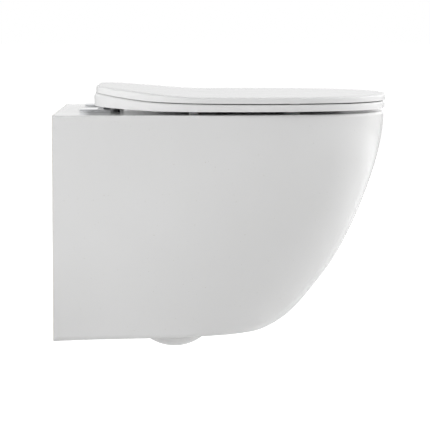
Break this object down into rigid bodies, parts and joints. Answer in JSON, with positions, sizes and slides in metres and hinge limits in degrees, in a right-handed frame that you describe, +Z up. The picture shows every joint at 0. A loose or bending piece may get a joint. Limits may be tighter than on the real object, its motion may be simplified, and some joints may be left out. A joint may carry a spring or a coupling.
{
  "type": "wall-hung toilet",
  "caption": "Wall-hung glazed ceramic toilet pan with concealed trap, slim seat and lid on soft-closing hinges, and its wall fixings.",
  "frame": {"origin": "on the wall face of the ceramic, midway between the two wall stud holes", "axes": "+X to the right when facing the wall, +Y into the wall, +Z up"},
  "size_m": [0.3732, 0.4942, 0.4009],
  "materials": {
    "glazed_ceramic": "white vitreous china, high-gloss glaze",
    "white_duroplast": "white moulded thermoset, polished",
    "white_rubber": "translucent white elastomer",
    "black_rubber": "black moulded rubber",
    "white_nylon": "natural moulded nylon",
    "zinc_steel": "bright zinc plated steel",
    "cast_zinc": "die-cast zinc, satin",
    "chrome": "polished chrome plate"
  },
  "bodies": {
    "pan": {"pan": "glazed_ceramic", "inlet_gasket": "black_rubber", "stud_sleeve_left": "white_nylon", "stud_sleeve_right": "white_nylon", "wall_washer_left": "zinc_steel", "wall_washer_right": "zinc_steel", "wall_nut_left": "zinc_steel", "wall_nut_right": "zinc_steel", "hinge_foot_left": "cast_zinc", "hinge_foot_right": "cast_zinc", "hinge_cover_left": "chrome", "hinge_cover_right": "chrome", "hinge_pad_left": "white_rubber", "hinge_pad_right": "white_rubber", "hinge_bolt_left": "zinc_steel", "hinge_bolt_right": "zinc_steel", "hinge_bush_left": "black_rubber", "hinge_bush_right": "black_rubber", "hinge_nut_left": "white_nylon", "hinge_nut_right": "white_nylon", "hinge_pin_left": "zinc_steel", "hinge_pin_right": "zinc_steel"},
    "seat": {"seat": "white_duroplast", "seat_buffers": "white_rubber", "damper_left": "white_nylon", "damper_right": "white_nylon"},
    "lid": {"lid": "white_duroplast", "lid_buffers": "white_rubber"}
  },
  "joints": [
    {"name": "seat_hinge", "type": "hinge", "parent": "pan", "child": "seat", "pos_m": [0, -0.0605, 0.1023], "axis": [-1, 0, 0], "range_deg": [0, 90]},
    {"name": "lid_hinge", "type": "hinge", "parent": "seat", "child": "lid", "pos_m": [0, -0.0605, 0.1023], "axis": [-1, 0, 0], "range_deg": [0, 90]}
  ]
}
